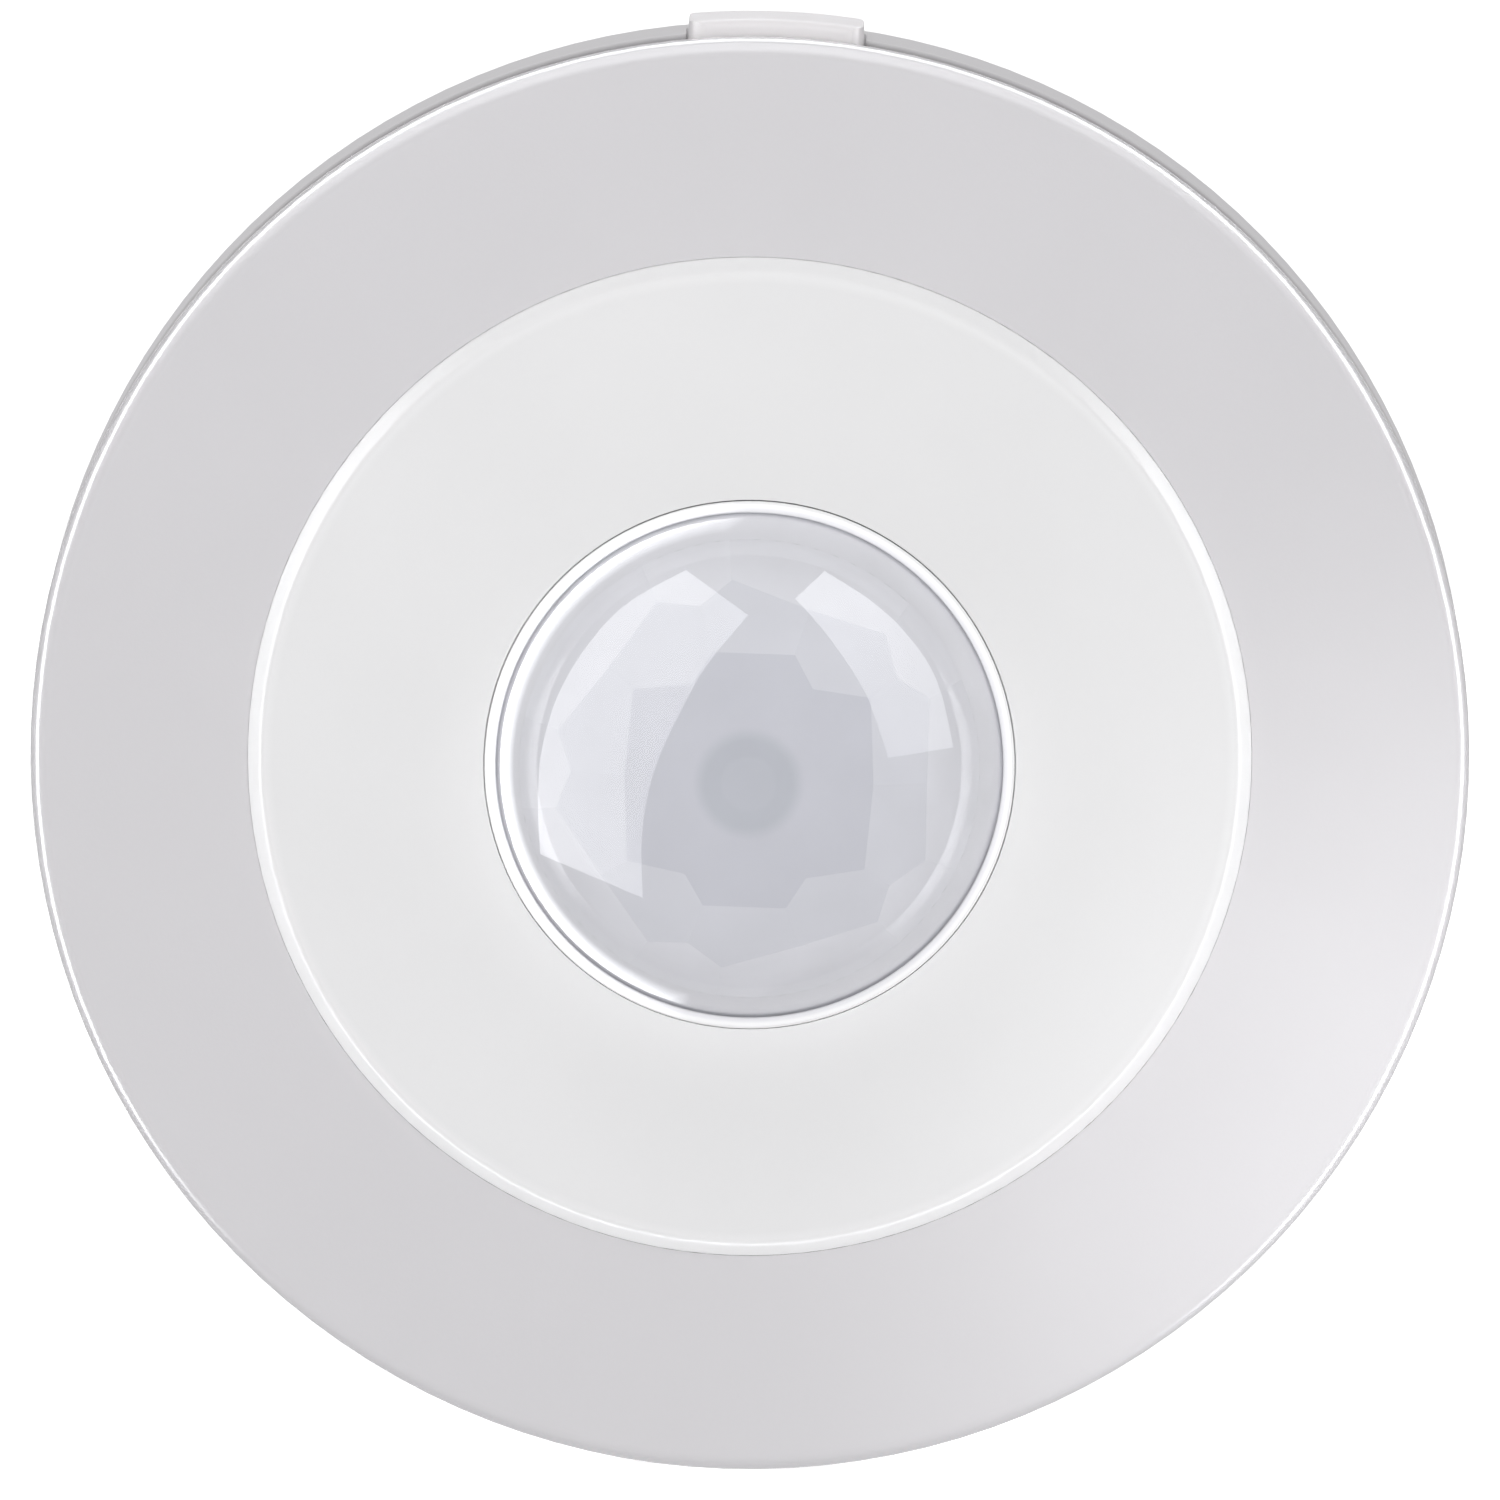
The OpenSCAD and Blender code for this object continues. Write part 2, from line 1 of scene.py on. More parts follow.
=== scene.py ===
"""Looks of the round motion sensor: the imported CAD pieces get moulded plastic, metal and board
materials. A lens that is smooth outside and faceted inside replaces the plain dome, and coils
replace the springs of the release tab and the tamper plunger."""

import math
import random

import bmesh
import bpy
from mathutils import Matrix, Vector


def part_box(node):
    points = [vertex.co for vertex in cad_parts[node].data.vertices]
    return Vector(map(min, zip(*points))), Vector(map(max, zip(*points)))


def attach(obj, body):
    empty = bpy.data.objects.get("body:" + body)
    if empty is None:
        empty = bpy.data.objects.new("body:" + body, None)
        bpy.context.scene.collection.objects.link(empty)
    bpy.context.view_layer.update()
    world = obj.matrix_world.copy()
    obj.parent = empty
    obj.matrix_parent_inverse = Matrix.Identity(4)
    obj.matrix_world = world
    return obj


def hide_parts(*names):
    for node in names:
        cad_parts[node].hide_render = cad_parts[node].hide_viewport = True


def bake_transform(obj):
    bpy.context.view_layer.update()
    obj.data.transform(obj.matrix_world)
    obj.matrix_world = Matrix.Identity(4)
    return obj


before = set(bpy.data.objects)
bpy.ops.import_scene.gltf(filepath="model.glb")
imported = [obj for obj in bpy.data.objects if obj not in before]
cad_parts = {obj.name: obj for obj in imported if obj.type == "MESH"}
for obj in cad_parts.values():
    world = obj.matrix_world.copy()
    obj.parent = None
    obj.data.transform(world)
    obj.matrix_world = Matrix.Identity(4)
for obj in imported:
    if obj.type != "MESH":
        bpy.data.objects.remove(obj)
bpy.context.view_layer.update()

MM = 0.001

# ---- Places read from the frame: the optical axis runs along -Y through the origin ----

cover_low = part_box("front_cover")[0]
dome_low, dome_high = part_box("dome_lens")
COVER_FACE_Y = cover_low.y
FLOOR_Z = cover_low.z
DOME_TIP_Y = dome_low.y
FLANGE_BACK_Y = dome_high.y
FLANGE_R = dome_high.x

# ---- Camera: square on from a little above, with a slight roll ----

VIEW_ELEVATION = math.radians(6.05)
VIEW_ROLL = math.radians(2.1)
VIEW_DISTANCE = 2.4
VIEW_WIDTH = 114.6 * MM
AIM = Vector((0.0, COVER_FACE_Y, 0.55 * MM))
SENSOR = 36.0


def direction(azimuth, elevation):
    """Unit vector from the object towards a viewer at that azimuth and elevation."""
    return Vector((
        math.sin(azimuth) * math.cos(elevation),
        -math.cos(azimuth) * math.cos(elevation),
        math.sin(elevation),
    ))


def add_object(name, data):
    """A new object in the scene, from its mesh, lamp or camera data."""
    obj = bpy.data.objects.new(name, data)
    bpy.context.collection.objects.link(obj)
    return obj


def make_camera():
    data = bpy.data.cameras.new("camera")
    data.sensor_width = SENSOR
    data.lens = SENSOR * VIEW_DISTANCE / VIEW_WIDTH
    data.dof.use_dof = False
    data.clip_start = 0.05
    data.clip_end = 50.0
    camera = add_object("camera", data)
    back = direction(0, VIEW_ELEVATION)
    camera.location = AIM + back * VIEW_DISTANCE
    look = (-back).to_track_quat("-Z", "Y").to_matrix()
    camera.rotation_euler = (look @ Matrix.Rotation(VIEW_ROLL, 3, "Z")).to_euler()
    bpy.context.scene.camera = camera


# ---- Node helpers ----

def new_material(name):
    """An empty node material, with its nodes and links."""
    material = bpy.data.materials.new(name)
    material.use_nodes = True
    nodes = material.node_tree.nodes
    nodes.clear()
    return material, nodes, material.node_tree.links


def noise(nodes, links, scale, detail=2.0, rough=0.5):
    """Noise over the object's own metres; scale is in features per metre."""
    coords = nodes.new("ShaderNodeTexCoord")
    texture = nodes.new("ShaderNodeTexNoise")
    texture.inputs["Scale"].default_value = scale
    texture.inputs["Detail"].default_value = detail
    texture.inputs["Roughness"].default_value = rough
    links.new(coords.outputs["Object"], texture.inputs["Vector"])
    return texture.outputs["Fac"]


def spread(nodes, links, value, low, high):
    """Maps a noise value, which mostly lies from 0.3 to 0.7, onto low to high."""
    ramp = nodes.new("ShaderNodeMapRange")
    ramp.inputs["From Min"].default_value = 0.3
    ramp.inputs["From Max"].default_value = 0.7
    ramp.inputs["To Min"].default_value = low
    ramp.inputs["To Max"].default_value = high
    links.new(value, ramp.inputs["Value"])
    return ramp.outputs["Result"]


def tinted(nodes, links, colour, factor):
    """The colour multiplied by a varying factor."""
    mix = nodes.new("ShaderNodeVectorMath")
    mix.operation = "SCALE"
    mix.inputs[0].default_value = colour
    links.new(factor, mix.inputs["Scale"])
    return mix.outputs["Vector"]


def bump(nodes, links, height, depth, normal=None):
    """A bumped normal, depth metres deep, on top of an earlier one where one is given."""
    node = nodes.new("ShaderNodeBump")
    node.inputs["Distance"].default_value = depth
    links.new(height, node.inputs["Height"])
    if normal is not None:
        links.new(normal, node.inputs["Normal"])
    return node.outputs["Normal"]


def principled(nodes, links):
    shader = nodes.new("ShaderNodeBsdfPrincipled")
    out = nodes.new("ShaderNodeOutputMaterial")
    links.new(shader.outputs["BSDF"], out.inputs["Surface"])
    return shader


# ---- Materials ----

# Scales are in features per metre, and shares are parts of a colour's brightness
CLOUD_SCALE = 55
CLOUD_SHARE = 0.012
MOULD_WAVE_SCALE = 140
MOULD_WAVE_DEPTH = 0.03 * MM
ROUGHNESS_SWING = 0.04
PLASTIC_IOR = 1.5
COAT_ROUGHNESS = 0.07
STREAK_SCALE = 900
STREAK_STRETCH = 0.15
STREAK_DEPTH = 0.004 * MM
STREAK_TINT = (0.92, 1.05)
STREAK_ROUGHNESS = (-0.06, 0.08)
WEAVE_SCALE = 900
WEAVE_DISTORTION = 1.5
WEAVE_DEPTH = 0.01 * MM
WEAVE_TINT = (0.86, 1.1)
MASK_ROUGHNESS = 0.32


def moulded_plastic(name, colour, roughness, grain, grain_depth, coat=0.0):
    """Moulded plastic: spark-eroded grain, slow waves from the mould, and a faint cloudiness."""
    material, nodes, links = new_material(name)
    shader = principled(nodes, links)
    cloud = noise(nodes, links, CLOUD_SCALE, detail=3)
    factor = spread(nodes, links, cloud, 1 - CLOUD_SHARE, 1 + CLOUD_SHARE)
    links.new(tinted(nodes, links, colour, factor), shader.inputs["Base Color"])
    fine = noise(nodes, links, grain, detail=2, rough=0.6)
    links.new(spread(nodes, links, fine, roughness - ROUGHNESS_SWING, roughness + ROUGHNESS_SWING),
              shader.inputs["Roughness"])
    waves = bump(nodes, links, noise(nodes, links, MOULD_WAVE_SCALE, detail=1), MOULD_WAVE_DEPTH)
    links.new(bump(nodes, links, fine, grain_depth * MM, waves), shader.inputs["Normal"])
    shader.inputs["IOR"].default_value = PLASTIC_IOR
    shader.inputs["Coat Weight"].default_value = coat
    shader.inputs["Coat Roughness"].default_value = COAT_ROUGHNESS
    return material


def metal(name, colour, roughness):
    """Drawn or plated metal with fine streaks along Z."""
    material, nodes, links = new_material(name)
    shader = principled(nodes, links)
    coords = nodes.new("ShaderNodeTexCoord")
    stretch = nodes.new("ShaderNodeMapping")
    stretch.inputs["Scale"].default_value = (1.0, 1.0, STREAK_STRETCH)
    links.new(coords.outputs["Object"], stretch.inputs["Vector"])
    lines = nodes.new("ShaderNodeTexNoise")
    lines.inputs["Scale"].default_value = STREAK_SCALE
    lines.inputs["Detail"].default_value = 3
    links.new(stretch.outputs["Vector"], lines.inputs["Vector"])
    factor = spread(nodes, links, lines.outputs["Fac"], *STREAK_TINT)
    links.new(tinted(nodes, links, colour, factor), shader.inputs["Base Color"])
    polish = spread(nodes, links, lines.outputs["Fac"], *(roughness + r for r in STREAK_ROUGHNESS))
    links.new(polish, shader.inputs["Roughness"])
    links.new(bump(nodes, links, lines.outputs["Fac"], STREAK_DEPTH), shader.inputs["Normal"])
    shader.inputs["Metallic"].default_value = 1.0
    return material


def solder_mask(name, colour):
    """Printed board: woven glass under a glossy mask, with darker laminate between the threads."""
    material, nodes, links = new_material(name)
    shader = principled(nodes, links)
    coords = nodes.new("ShaderNodeTexCoord")
    weave = nodes.new("ShaderNodeTexWave")
    weave.bands_direction = "Z"
    weave.inputs["Scale"].default_value = WEAVE_SCALE
    weave.inputs["Distortion"].default_value = WEAVE_DISTORTION
    links.new(coords.outputs["Object"], weave.inputs["Vector"])
    factor = spread(nodes, links, weave.outputs["Fac"], *WEAVE_TINT)
    links.new(tinted(nodes, links, colour, factor), shader.inputs["Base Color"])
    links.new(bump(nodes, links, weave.outputs["Fac"], WEAVE_DEPTH), shader.inputs["Normal"])
    shader.inputs["Roughness"].default_value = MASK_ROUGHNESS
    return material


PLASTICS = {
    # slot: (colour, roughness, grain per metre, grain depth in mm, coat weight)
    # Lighter than the cover's plastic: painted light that offsets the shade the rim casts on the tab's
    # face.
    "tab_plastic": ((0.87, 0.85, 0.855), 0.42, 3600, 0.006, 0.0),
    "shell_plastic": ((0.62, 0.61, 0.62), 0.50, 3600, 0.008, 0.0),
    "cover_plastic": ((0.675, 0.665, 0.68), 0.42, 4200, 0.006, 1.0),
    "clamp_plastic": ((0.60, 0.60, 0.59), 0.50, 3600, 0.008, 0.0),
    "black_epoxy": ((0.028, 0.028, 0.032), 0.55, 6000, 0.010, 0.0),
    "black_nylon": ((0.045, 0.045, 0.047), 0.48, 6000, 0.006, 0.0),
    "led_epoxy": ((0.74, 0.84, 0.70), 0.20, 5200, 0.001, 0.5),
    "ceramic": ((0.50, 0.36, 0.22), 0.45, 7000, 0.008, 0.0),
    "cap_sleeve": ((0.03, 0.06, 0.16), 0.30, 5200, 0.002, 0.3),
    "plunger_plastic": ((0.78, 0.75, 0.66), 0.35, 5200, 0.003, 0.0),
    "button_plastic": ((0.50, 0.05, 0.03), 0.35, 5200, 0.003, 0.0),
    "dip_plastic": ((0.42, 0.03, 0.025), 0.42, 5200, 0.004, 0.0),
    "slider_plastic": ((0.86, 0.86, 0.83), 0.38, 5200, 0.003, 0.0),
    "cell_jacket": ((0.04, 0.13, 0.28), 0.24, 5200, 0.001, 0.4),
    "filter_glass": ((0.03, 0.018, 0.025), 0.12, 5200, 0.001, 0.5),
}
BANDED = {
    # slot: (measure, band, colours before and past it, roughness, coat past it, its roughness, gloss)
    # The base's foremost lip, just behind the cover's rim, is painted darker: painted shade of the gap
    # between cover and base.
    "base_plastic": ("depth", (-9.35 * MM, -8.75 * MM), (0.40, 0.39, 0.40), (0.95, 0.94, 0.95),
                     0.46, 0.0, 0.30, 0.5),
    # Past 37 mm the bezel's edge band is a shade lighter: painted highlight along the chamfer, under a real
    # polished coat.
    "bezel_plastic": ("radius", (36.4 * MM, 37.0 * MM), (0.83, 0.83, 0.83), (0.86, 0.86, 0.86),
                      0.42, 0.6, 0.32, 0.2),
    "ring_plastic": ("radius", (19.60 * MM, 19.80 * MM), (0.86, 0.86, 0.88), (0.97, 0.97, 0.97),
                     0.16, 0.6, 0.07, 0.5),
}
BANDED_GRAIN = 5200
BANDED_GRAIN_DEPTH = 0.004
METALS = {
    # slot: (colour, roughness)
    "sensor_steel": ((0.72, 0.72, 0.74), 0.24),
    "shield_tin": ((0.70, 0.71, 0.72), 0.34),
    "copper": ((0.78, 0.36, 0.18), 0.28),
    "spring_wire": ((0.62, 0.62, 0.64), 0.26),
    "contact_plate": ((0.68, 0.65, 0.58), 0.28),
    "screw_steel": ((0.56, 0.57, 0.60), 0.30),
}
BOARDS = {"board": (0.02, 0.14, 0.05), "radio_board": (0.02, 0.08, 0.18)}

# Milky polyethylene: the facets inside, and the skin over them
FACET_CLOUD_SCALE = 170
FACET_CLOUD = (0.972, 1.028)
FACET_ROUGHNESS = 0.5
FACET_GLOSS = 0.25
SKIN_CLOUD_SCALE = 120
SKIN_CLOUD = (0.98, 1.02)
SKIN_ROUGHNESS_SCALE = 300
SKIN_ROUGHNESS = (0.03, 0.05)
SKIN_COAT_ROUGHNESS = 0.04
SKIN_EDGE_BLEND = 0.35
LENS_HAZE = (0.82, 0.83, 0.86)
HAZE_FACING = 0.25
HAZE_EDGE = 0.36


def slot_materials():
    """The record's material slots, each with its finished look."""
    made = {}
    for slot, (colour, roughness, grain, depth, coat) in PLASTICS.items():
        made[slot] = moulded_plastic(slot + "_look", colour, roughness, grain, depth, coat)
    for slot, (colour, roughness) in METALS.items():
        made[slot] = metal(slot + "_look", colour, roughness)
    for slot, colour in BOARDS.items():
        made[slot] = solder_mask(slot + "_look", colour)
    for slot, look in BANDED.items():
        made[slot] = banded_plastic(slot + "_look", *look)
    return made


def lens_inside_material():
    """Milky polyethylene seen at the facets: each facet's own tone, clouded, slightly blue."""
    material, nodes, links = new_material("lens_inside_look")
    shader = principled(nodes, links)
    tone = nodes.new("ShaderNodeAttribute")
    tone.attribute_name = "facet_tone"
    cloud = spread(nodes, links, noise(nodes, links, FACET_CLOUD_SCALE, detail=3), *FACET_CLOUD)
    mixed = nodes.new("ShaderNodeVectorMath")
    mixed.operation = "SCALE"
    links.new(tone.outputs["Color"], mixed.inputs[0])
    links.new(cloud, mixed.inputs["Scale"])
    links.new(mixed.outputs["Vector"], shader.inputs["Base Color"])
    shader.inputs["Roughness"].default_value = FACET_ROUGHNESS
    shader.inputs["Specular IOR Level"].default_value = FACET_GLOSS
    return material


def lens_skin_material():
    """The dome's smooth outside: a thin milky haze over the facets, thicker at the edge, and a gloss.
    Haze and gloss share one opacity, so the gloss is made stronger than plain plastic's."""
    material, nodes, links = new_material("lens_skin_look")
    out = nodes.new("ShaderNodeOutputMaterial")
    clear = nodes.new("ShaderNodeBsdfTransparent")
    milk = nodes.new("ShaderNodeBsdfPrincipled")
    cloud = spread(nodes, links, noise(nodes, links, SKIN_CLOUD_SCALE), *SKIN_CLOUD)
    links.new(tinted(nodes, links, LENS_HAZE, cloud), milk.inputs["Base Color"])
    polish = spread(nodes, links, noise(nodes, links, SKIN_ROUGHNESS_SCALE), *SKIN_ROUGHNESS)
    links.new(polish, milk.inputs["Roughness"])
    milk.inputs["Specular IOR Level"].default_value = 1.0
    milk.inputs["Coat Weight"].default_value = 1.0
    milk.inputs["Coat Roughness"].default_value = SKIN_COAT_ROUGHNESS
    edge = nodes.new("ShaderNodeLayerWeight")
    edge.inputs["Blend"].default_value = SKIN_EDGE_BLEND
    amount = nodes.new("ShaderNodeMapRange")
    amount.inputs["To Min"].default_value = HAZE_FACING
    amount.inputs["To Max"].default_value = HAZE_EDGE
    links.new(edge.outputs["Facing"], amount.inputs["Value"])
    surface = nodes.new("ShaderNodeMixShader")
    links.new(amount.outputs["Result"], surface.inputs["Fac"])
    links.new(clear.outputs["BSDF"], surface.inputs[1])
    links.new(milk.outputs["BSDF"], surface.inputs[2])
    links.new(surface.outputs["Shader"], out.inputs["Surface"])
    return material


def measured(nodes, links, measure):
    """A point's depth, which is its Y, or its radius round the optical axis."""
    coords = nodes.new("ShaderNodeTexCoord")
    if measure == "depth":
        split = nodes.new("ShaderNodeSeparateXYZ")
        links.new(coords.outputs["Object"], split.inputs["Vector"])
        return split.outputs["Y"]
    flat = nodes.new("ShaderNodeVectorMath")
    flat.operation = "MULTIPLY"
    flat.inputs[1].default_value = (1, 0, 1)
    reach = nodes.new("ShaderNodeVectorMath")
    reach.operation = "LENGTH"
    links.new(coords.outputs["Object"], flat.inputs[0])
    links.new(flat.outputs["Vector"], reach.inputs[0])
    return reach.outputs["Value"]


def banded_plastic(name, measure, span, before, past, roughness, coat, coat_roughness, gloss):
    """Plastic that turns from one colour into another, and from satin into polished, over a span of
    depths or radii."""
    material = moulded_plastic(name, before, roughness, BANDED_GRAIN, BANDED_GRAIN_DEPTH)
    nodes, links = material.node_tree.nodes, material.node_tree.links
    shader = next(n for n in nodes if n.type == "BSDF_PRINCIPLED")
    band = nodes.new("ShaderNodeMapRange")
    band.inputs["From Min"].default_value = span[0]
    band.inputs["From Max"].default_value = span[1]
    links.new(measured(nodes, links, measure), band.inputs["Value"])
    polish = nodes.new("ShaderNodeMath")
    polish.operation = "MULTIPLY"
    polish.inputs[1].default_value = coat
    links.new(band.outputs["Result"], polish.inputs[0])
    links.new(polish.outputs["Value"], shader.inputs["Coat Weight"])
    shader.inputs["Coat Roughness"].default_value = coat_roughness
    shader.inputs["Specular IOR Level"].default_value = gloss
    mix = nodes.new("ShaderNodeMix")
    mix.data_type = "RGBA"
    colour = next(i for i in mix.inputs if i.name == "A" and i.type == "RGBA")
    bright = next(i for i in mix.inputs if i.name == "B" and i.type == "RGBA")
    bright.default_value = (*past, 1.0)
    links.new(shader.inputs["Base Color"].links[0].from_socket, colour)
    links.new(band.outputs["Result"], mix.inputs["Factor"])
    mixed = next(o for o in mix.outputs if o.type == "RGBA")
    links.new(mixed, shader.inputs["Base Color"])
    return material


# ---- CAD pieces: materials, and one smooth skin across the faces that the CAD splits ----

SMOOTH_ANGLE = math.radians(28)
WELD_DISTANCE = 0.002 * MM
NORMAL_WEIGHT = 60


def smooth_by_angle_group():
    """Geometry nodes that mark an edge sharp where its faces meet at more than SMOOTH_ANGLE."""
    group = bpy.data.node_groups.new("sharp_by_angle", "GeometryNodeTree")
    group.interface.new_socket("Geometry", in_out="INPUT", socket_type="NodeSocketGeometry")
    group.interface.new_socket("Geometry", in_out="OUTPUT", socket_type="NodeSocketGeometry")
    nodes, links = group.nodes, group.links
    start = nodes.new("NodeGroupInput")
    end = nodes.new("NodeGroupOutput")
    faces = nodes.new("GeometryNodeSetShadeSmooth")
    faces.domain = "FACE"
    edges = nodes.new("GeometryNodeSetShadeSmooth")
    edges.domain = "EDGE"
    angle = nodes.new("GeometryNodeInputMeshEdgeAngle")
    flat_enough = nodes.new("FunctionNodeCompare")
    flat_enough.data_type = "FLOAT"
    flat_enough.operation = "LESS_THAN"
    flat_enough.inputs[1].default_value = SMOOTH_ANGLE
    links.new(start.outputs[0], faces.inputs["Geometry"])
    links.new(faces.outputs["Geometry"], edges.inputs["Geometry"])
    links.new(angle.outputs["Unsigned Angle"], flat_enough.inputs[0])
    links.new(flat_enough.outputs["Result"], edges.inputs["Shade Smooth"])
    links.new(edges.outputs["Geometry"], end.inputs[0])
    return group


def dress_cad_nodes():
    looks = slot_materials()
    sharp = smooth_by_angle_group()
    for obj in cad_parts.values():
        for slot in obj.material_slots:
            if slot.material.name in looks:
                slot.material = looks[slot.material.name]
        if obj.data.has_custom_normals:
            obj.data.attributes.remove(obj.data.attributes["custom_normal"])
        weld = obj.modifiers.new("weld", "WELD")
        weld.merge_threshold = WELD_DISTANCE
        split = obj.modifiers.new("sharp", "NODES")
        split.node_group = sharp
        even = obj.modifiers.new("even", "WEIGHTED_NORMAL")
        even.keep_sharp = True
        even.weight = NORMAL_WEIGHT


# ---- The dome: a smooth hazy skin over moulded facets ----

DOME_R = 20 * MM
DOME_CENTRE_Y = DOME_TIP_Y + DOME_R
LENS_WALL = 0.8 * MM
LENS_INNER_R = DOME_R - LENS_WALL
FLANGE_THICKNESS = 1.2 * MM
# How close the facets' solid skirt comes to the skin
SKIN_GAP = 0.04 * MM
FLANGE_FRONT_Y = FLANGE_BACK_Y - FLANGE_THICKNESS
# How far the facets' shading leans to the front, as light spreads inside milky plastic
FACET_LEAN = 1.0
# Share by which a facet's tone may differ from its band's, and the seed of those draws
FACET_SWING = 0.012
FACET_SEED = 7
# Steps once round the skin, and the polar angles of its rings: the first one, and the step
SKIN_STEPS = 200
SKIN_FOOT = 84
SKIN_RING_STEP = 2
SKIN_SHARP_ANGLE = math.radians(40)

# Polar angles from the tip, in degrees, where the bands of facets meet
CENTRE_LENS = 6.2
FIELD_EDGE = 10.0
CENTRE_FIELD = 13.0
HEX_CORNER_SIDE = 29.5
HEX_CORNER = 26.5
NEAR_JOINT = 32.0
FAR_JOINT = 35.5
OUTER_JOINT = 44.8
OUTER_POINT = 51.0
SKIRT_TOP = 66.0
SKIRT_SOLID = 78.0
SKIRT_FOOT = 86.5
SKIRT_RINGS = (SKIRT_TOP, 70, 74, SKIRT_SOLID, 82, SKIRT_FOOT)
# Step of a facet's round edge, in degrees of turn
ARC_STEP = 5
# Turns, in degrees from +X: the second band has ten equal facets, and each outer point sits off
# its facet's middle, in a pattern that repeats every fifth of a turn
JOINT_STEP = 36
HEX_TURNS = (57.5, 122.5, 237.5, 302.5)
OUTER_POINT_TURNS = (25, 48)
# Tone of each band from the tip outwards, and how much it fades from its inner to its outer edge
TONES = {
    "centre": ((0.510, 0.525, 0.575), 0.0),
    "field": ((0.490, 0.507, 0.555), 0.0),
    "inner": ((0.605, 0.611, 0.664), 0.0),
    "middle": ((0.710, 0.716, 0.760), 0.04),
    "outer": ((0.785, 0.787, 0.824), 0.12),
    "skirt": ((0.790, 0.790, 0.825), -0.20),
}
# Polar angles between which a band's tone fades
BAND_SPAN = {
    "middle": (26.0, OUTER_POINT),
    "outer": (OUTER_JOINT, SKIRT_TOP),
    "skirt": (SKIRT_TOP, SKIRT_FOOT),
}


def corner_tone(band, polar, shade):
    """Tone of a facet at one corner; the soft band turns the field's tone into the inner band's."""
    if band == "soft":
        band = "field" if polar == FIELD_EDGE else "inner"
    colour, fade = TONES[band]
    low, high = BAND_SPAN.get(band, (0.0, 90.0))
    along_band = (polar - low) / (high - low)
    return tuple(c * shade * (1 + fade * (0.5 - along_band)) for c in colour)


def on_sphere(radius, polar, turn):
    """Point at a polar angle from the dome's tip and a turn round the optical axis, in degrees."""
    polar, turn = math.radians(polar), math.radians(turn)
    return Vector((
        radius * math.sin(polar) * math.cos(turn),
        DOME_CENTRE_Y - radius * math.cos(polar),
        radius * math.sin(polar) * math.sin(turn),
    ))


def facet_radius(polar):
    """The inside of the dome thickens into its rim below SKIRT_TOP."""
    t = min(max((polar - SKIRT_TOP) / (SKIRT_SOLID - SKIRT_TOP), 0), 1)
    return LENS_INNER_R + (DOME_R - SKIN_GAP - LENS_INNER_R) * t * t * (3 - 2 * t)


def joint_polar(turn):
    """Polar angle of the joint between the first and second bands at a turn."""
    if turn % 180 == 0:
        return HEX_CORNER_SIDE
    return FAR_JOINT if turn % 180 in (JOINT_STEP, 180 - JOINT_STEP) else NEAR_JOINT


def inner_corners(start):
    """Corners between the first and second bands over one facet of the second band."""
    end = start + JOINT_STEP
    between = [(HEX_CORNER, turn) for turn in HEX_TURNS if start < turn < end]
    return [(joint_polar(start), start), *between, (joint_polar(end), end)]


def outer_point(start):
    """The turn of the point where two facets of the third band meet this facet of the second."""
    fifth, odd = divmod(start, 2 * JOINT_STEP)
    return fifth * 2 * JOINT_STEP + OUTER_POINT_TURNS[1 if odd else 0]


def circle(polar, steps=72):
    """(polar, turn) points once round the optical axis."""
    return [(polar, 360 * k / steps) for k in range(steps)]


def lens_facets():
    """(band, list of (polar, turn) corners) for every facet, from the tip outwards."""
    facets = [("centre", circle(CENTRE_LENS))]
    facets += band_between("field", circle(CENTRE_LENS), circle(FIELD_EDGE))
    facets += band_between("soft", circle(FIELD_EDGE), circle(CENTRE_FIELD))
    starts = range(0, 360, JOINT_STEP)
    for start in starts:
        end = start + JOINT_STEP
        edge = inner_corners(start)
        field = [(CENTRE_FIELD, t) for t in range(end, start - 1, -ARC_STEP)]
        if field[-1][1] != start:
            field.append((CENTRE_FIELD, start))
        facets.append(("inner", edge + field))
        point = outer_point(start)
        facets.append(("middle", list(reversed(edge)) + [
            (OUTER_JOINT, start), (OUTER_POINT, point), (OUTER_JOINT, end)]))
    points = [outer_point(start) for start in starts]
    for start, point, after in zip(starts, points, points[1:] + [points[0] + 360]):
        foot = [(SKIRT_TOP, t) for t in range(point, after, ARC_STEP)] + [(SKIRT_TOP, after)]
        facets.append(("outer", [(OUTER_POINT, point)] + foot + [
            (OUTER_POINT, after), (OUTER_JOINT, start + JOINT_STEP)]))
    for upper, lower in zip(SKIRT_RINGS, SKIRT_RINGS[1:]):
        facets += band_between("skirt", circle(upper), circle(lower))
    return facets


def band_between(name, inner, outer):
    """A facet for each step between two circles."""
    count = len(inner)
    return [(name, [inner[k], inner[(k + 1) % count], outer[(k + 1) % count], outer[k]])
            for k in range(count)]


def newell_normal(ring):
    """Unscaled normal of a closed loop of points, right for loops that are not quite flat."""
    total = Vector()
    for here, after in zip(ring, ring[1:] + ring[:1]):
        total += here.cross(after)
    return total


